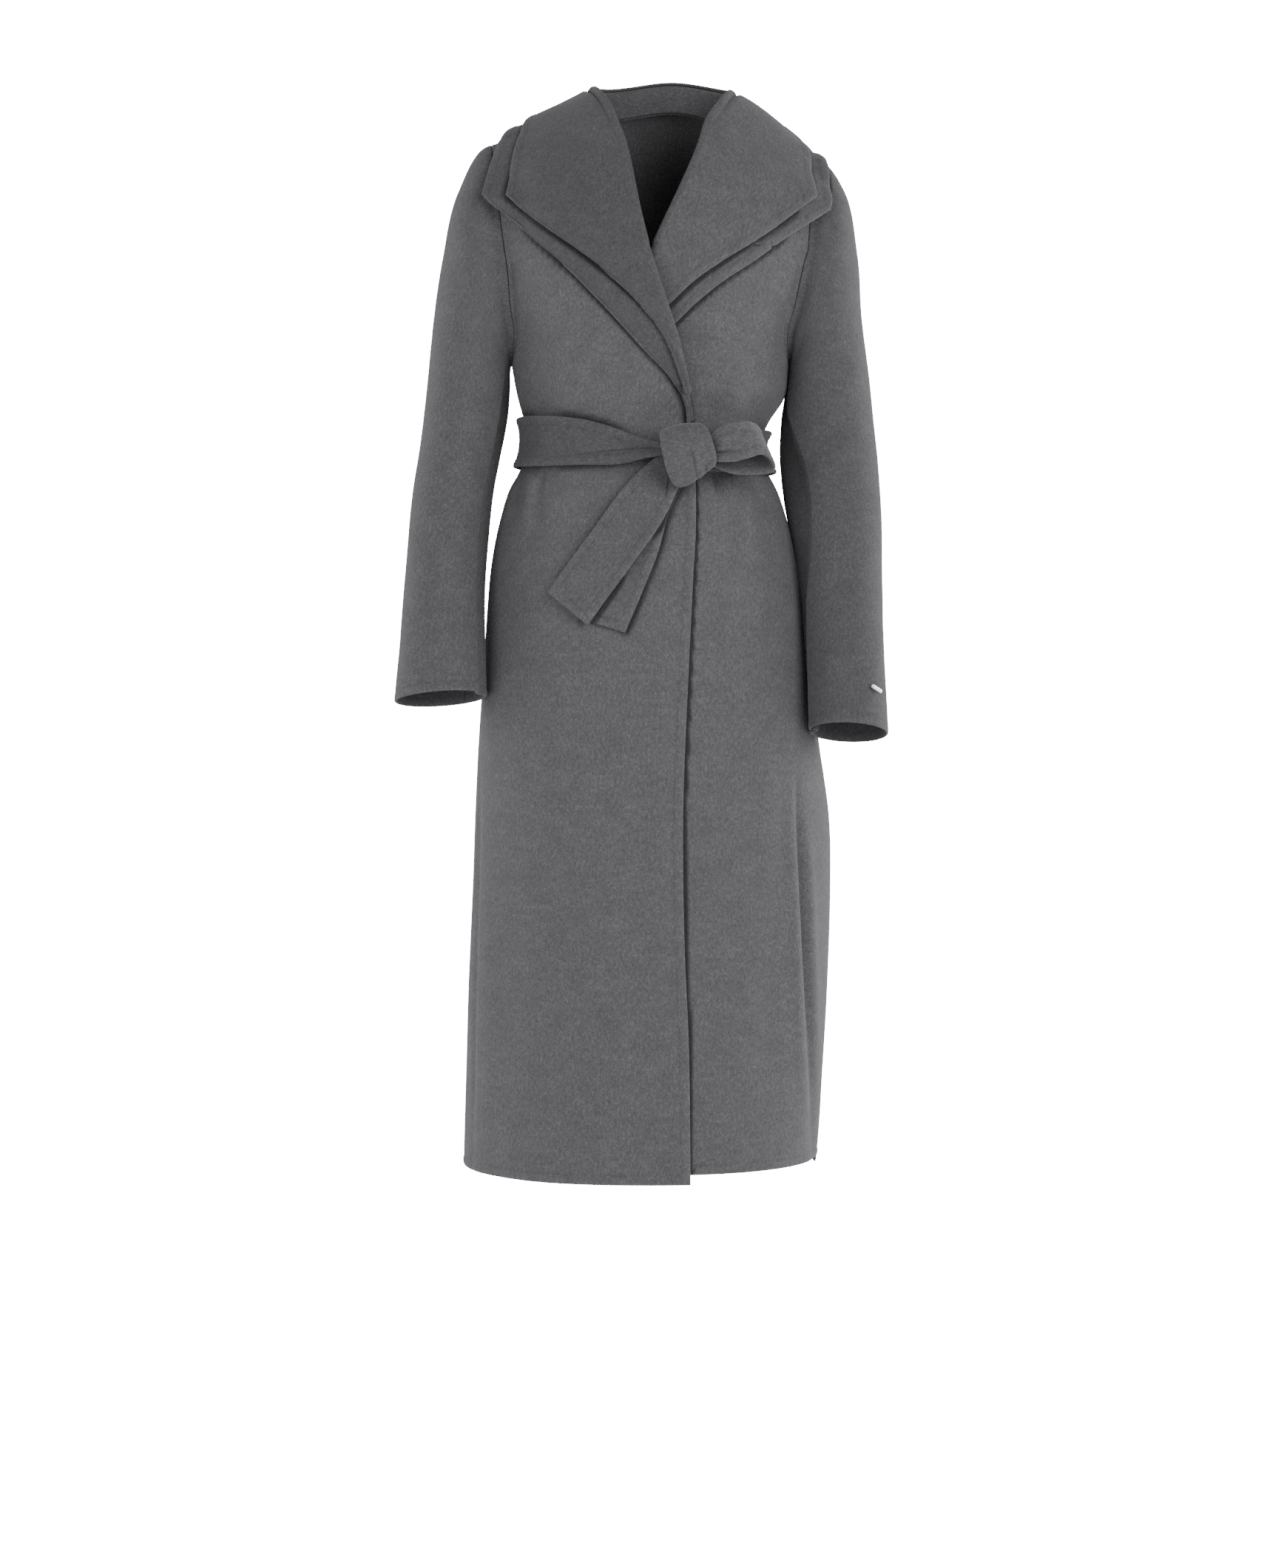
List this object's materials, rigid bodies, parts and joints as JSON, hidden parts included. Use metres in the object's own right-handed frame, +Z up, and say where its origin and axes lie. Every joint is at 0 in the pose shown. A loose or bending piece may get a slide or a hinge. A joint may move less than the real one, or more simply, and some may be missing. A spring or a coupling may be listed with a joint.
{
  "type": "wrap coat",
  "caption": "Long charcoal wool wrap coat in its worn, hollow form, with a doubled shawl collar and its own tie belt in a half bow.",
  "frame": {"origin": "at the base of the neck, midway between the shoulders, where the coat is held up when it is worn", "axes": "+Z up, -Y to the front of the coat, +X to the wearer's left"},
  "size_m": [0.5513, 0.3235, 1.2448],
  "materials": {
    "wool_coat": "brushed charcoal melton wool, soft and matt",
    "wool_belt": "the same wool, pressed flat in two layers",
    "metal_bar": "plain polished metal, no mark"
  },
  "bodies": {
    "root": {"back": "wool_coat", "belt_band": "wool_belt", "belt_knot": "wool_belt", "belt_loop": "wool_belt", "belt_tail_back": "wool_belt", "belt_tail_front": "wool_belt", "collar_lower_left": "wool_coat", "collar_lower_right": "wool_coat", "collar_upper_left": "wool_coat", "collar_upper_right": "wool_coat", "cuff_bar": "metal_bar", "front_left": "wool_coat", "front_right": "wool_coat", "sleeve_left_top": "wool_coat", "sleeve_left_under": "wool_coat", "sleeve_right_top": "wool_coat", "sleeve_right_under": "wool_coat"}
  },
  "joints": []
}
